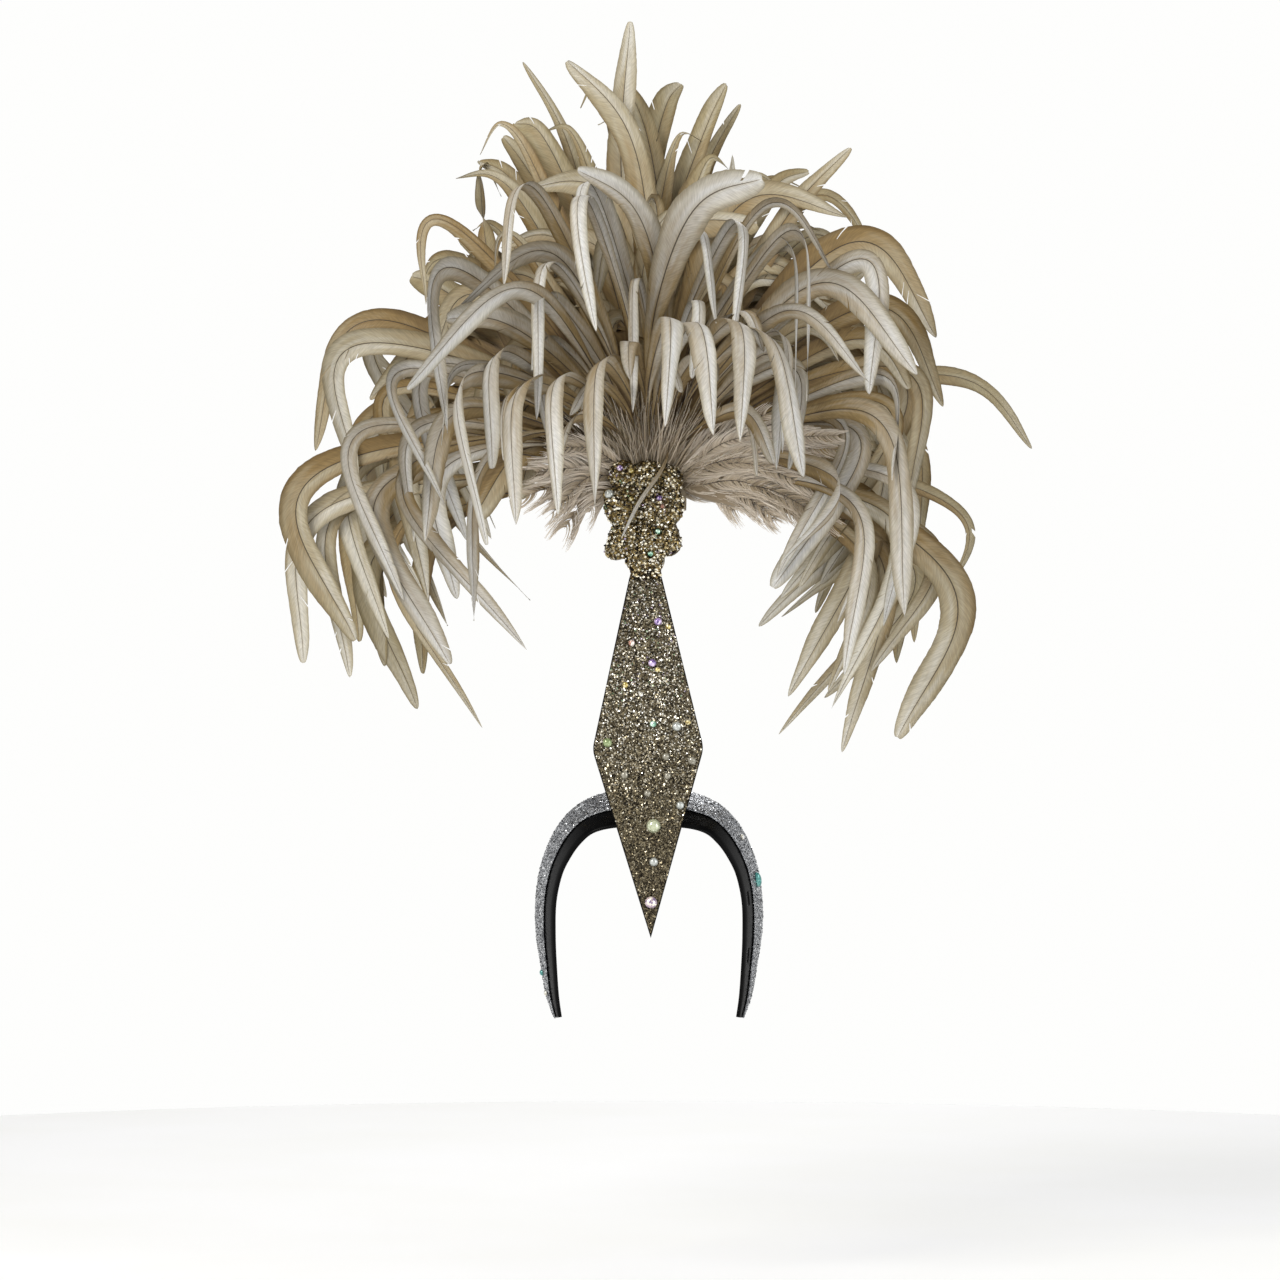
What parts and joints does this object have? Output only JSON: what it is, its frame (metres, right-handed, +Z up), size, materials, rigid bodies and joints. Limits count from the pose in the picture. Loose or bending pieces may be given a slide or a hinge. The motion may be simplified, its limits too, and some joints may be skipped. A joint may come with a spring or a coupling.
{
  "type": "feathered headdress",
  "caption": "Showgirl headdress: glittered headband arch, kite-shaped crest plate with stones, cast medallion and a wide plume of arching tail feathers.",
  "frame": {"origin": "inside of the headband's crown, above the middle of the head", "axes": "+Z up, -Y towards the front, +X to the right of the front view"},
  "size_m": [0.5738, 0.4013, 0.7488],
  "materials": {
    "black_plastic": "moulded gloss black",
    "silver_glitter": "fine silver-grey glitter",
    "champagne_glitter": "coarse champagne and bronze glitter flakes",
    "cast_bronze": "cast ornament with antique bronze and glitter",
    "stone_iridescent": "faceted, iridescent coat",
    "stone_clear": "faceted, clear",
    "stone_topaz": "faceted, yellow",
    "stone_peridot": "faceted, green",
    "stone_amethyst": "faceted, violet",
    "stone_rose": "faceted, pale rose",
    "dome_clear": "frosted clear cabochon",
    "dome_grey": "grey cabochon",
    "dome_green": "green cabochon",
    "dome_pearl": "pearl cabochon",
    "dome_teal": "teal cabochon",
    "feather_cream": "cream and taupe rooster feathers"
  },
  "bodies": {
    "root": {"band_shell": "black_plastic", "band_cover": "silver_glitter", "band_gem_teal_oval": "dome_teal", "band_gem_teal_small": "dome_teal", "band_gem_white_small": "stone_clear", "band_gem_light_upper": "stone_clear", "crest_plate": "black_plastic", "crest_facing": "champagne_glitter", "crest_stone_point_rose": "stone_iridescent", "crest_stone_point_drop": "dome_clear", "crest_stone_middle_pearl": "dome_pearl", "crest_stone_low_clear": "dome_clear", "crest_stone_low_grey": "dome_grey", "crest_stone_left_grey": "dome_grey", "crest_stone_mid_grey": "dome_grey", "crest_stone_right_grey": "dome_grey", "crest_stone_upper_grey": "dome_grey", "crest_stone_shoulder_green": "dome_green", "crest_stone_shoulder_frost": "dome_clear", "crest_stone_shoulder_small": "stone_topaz", "crest_stone_green": "stone_peridot", "crest_stone_small_white": "stone_clear", "crest_stone_left_yellow": "stone_topaz", "crest_stone_pale_yellow": "stone_topaz", "crest_stone_blue_violet": "stone_amethyst", "crest_stone_pink_white": "stone_rose", "crest_stone_upper_yellow": "stone_topaz", "crest_stone_violet": "stone_amethyst", "medallion": "cast_bronze", "medallion_stone_foot_green": "stone_peridot", "medallion_stone_low_green": "stone_peridot", "medallion_stone_peach": "stone_rose", "medallion_stone_magenta": "stone_amethyst", "medallion_stone_mid_yellow": "stone_topaz", "medallion_stone_white_yellow": "stone_clear", "medallion_stone_top_yellow": "stone_topaz", "medallion_stone_lilac": "stone_amethyst", "medallion_stone_side_clear": "dome_clear", "support_post": "black_plastic", "plume_front": "feather_cream", "plume_middle": "feather_cream", "plume_back": "feather_cream"}
  },
  "joints": []
}
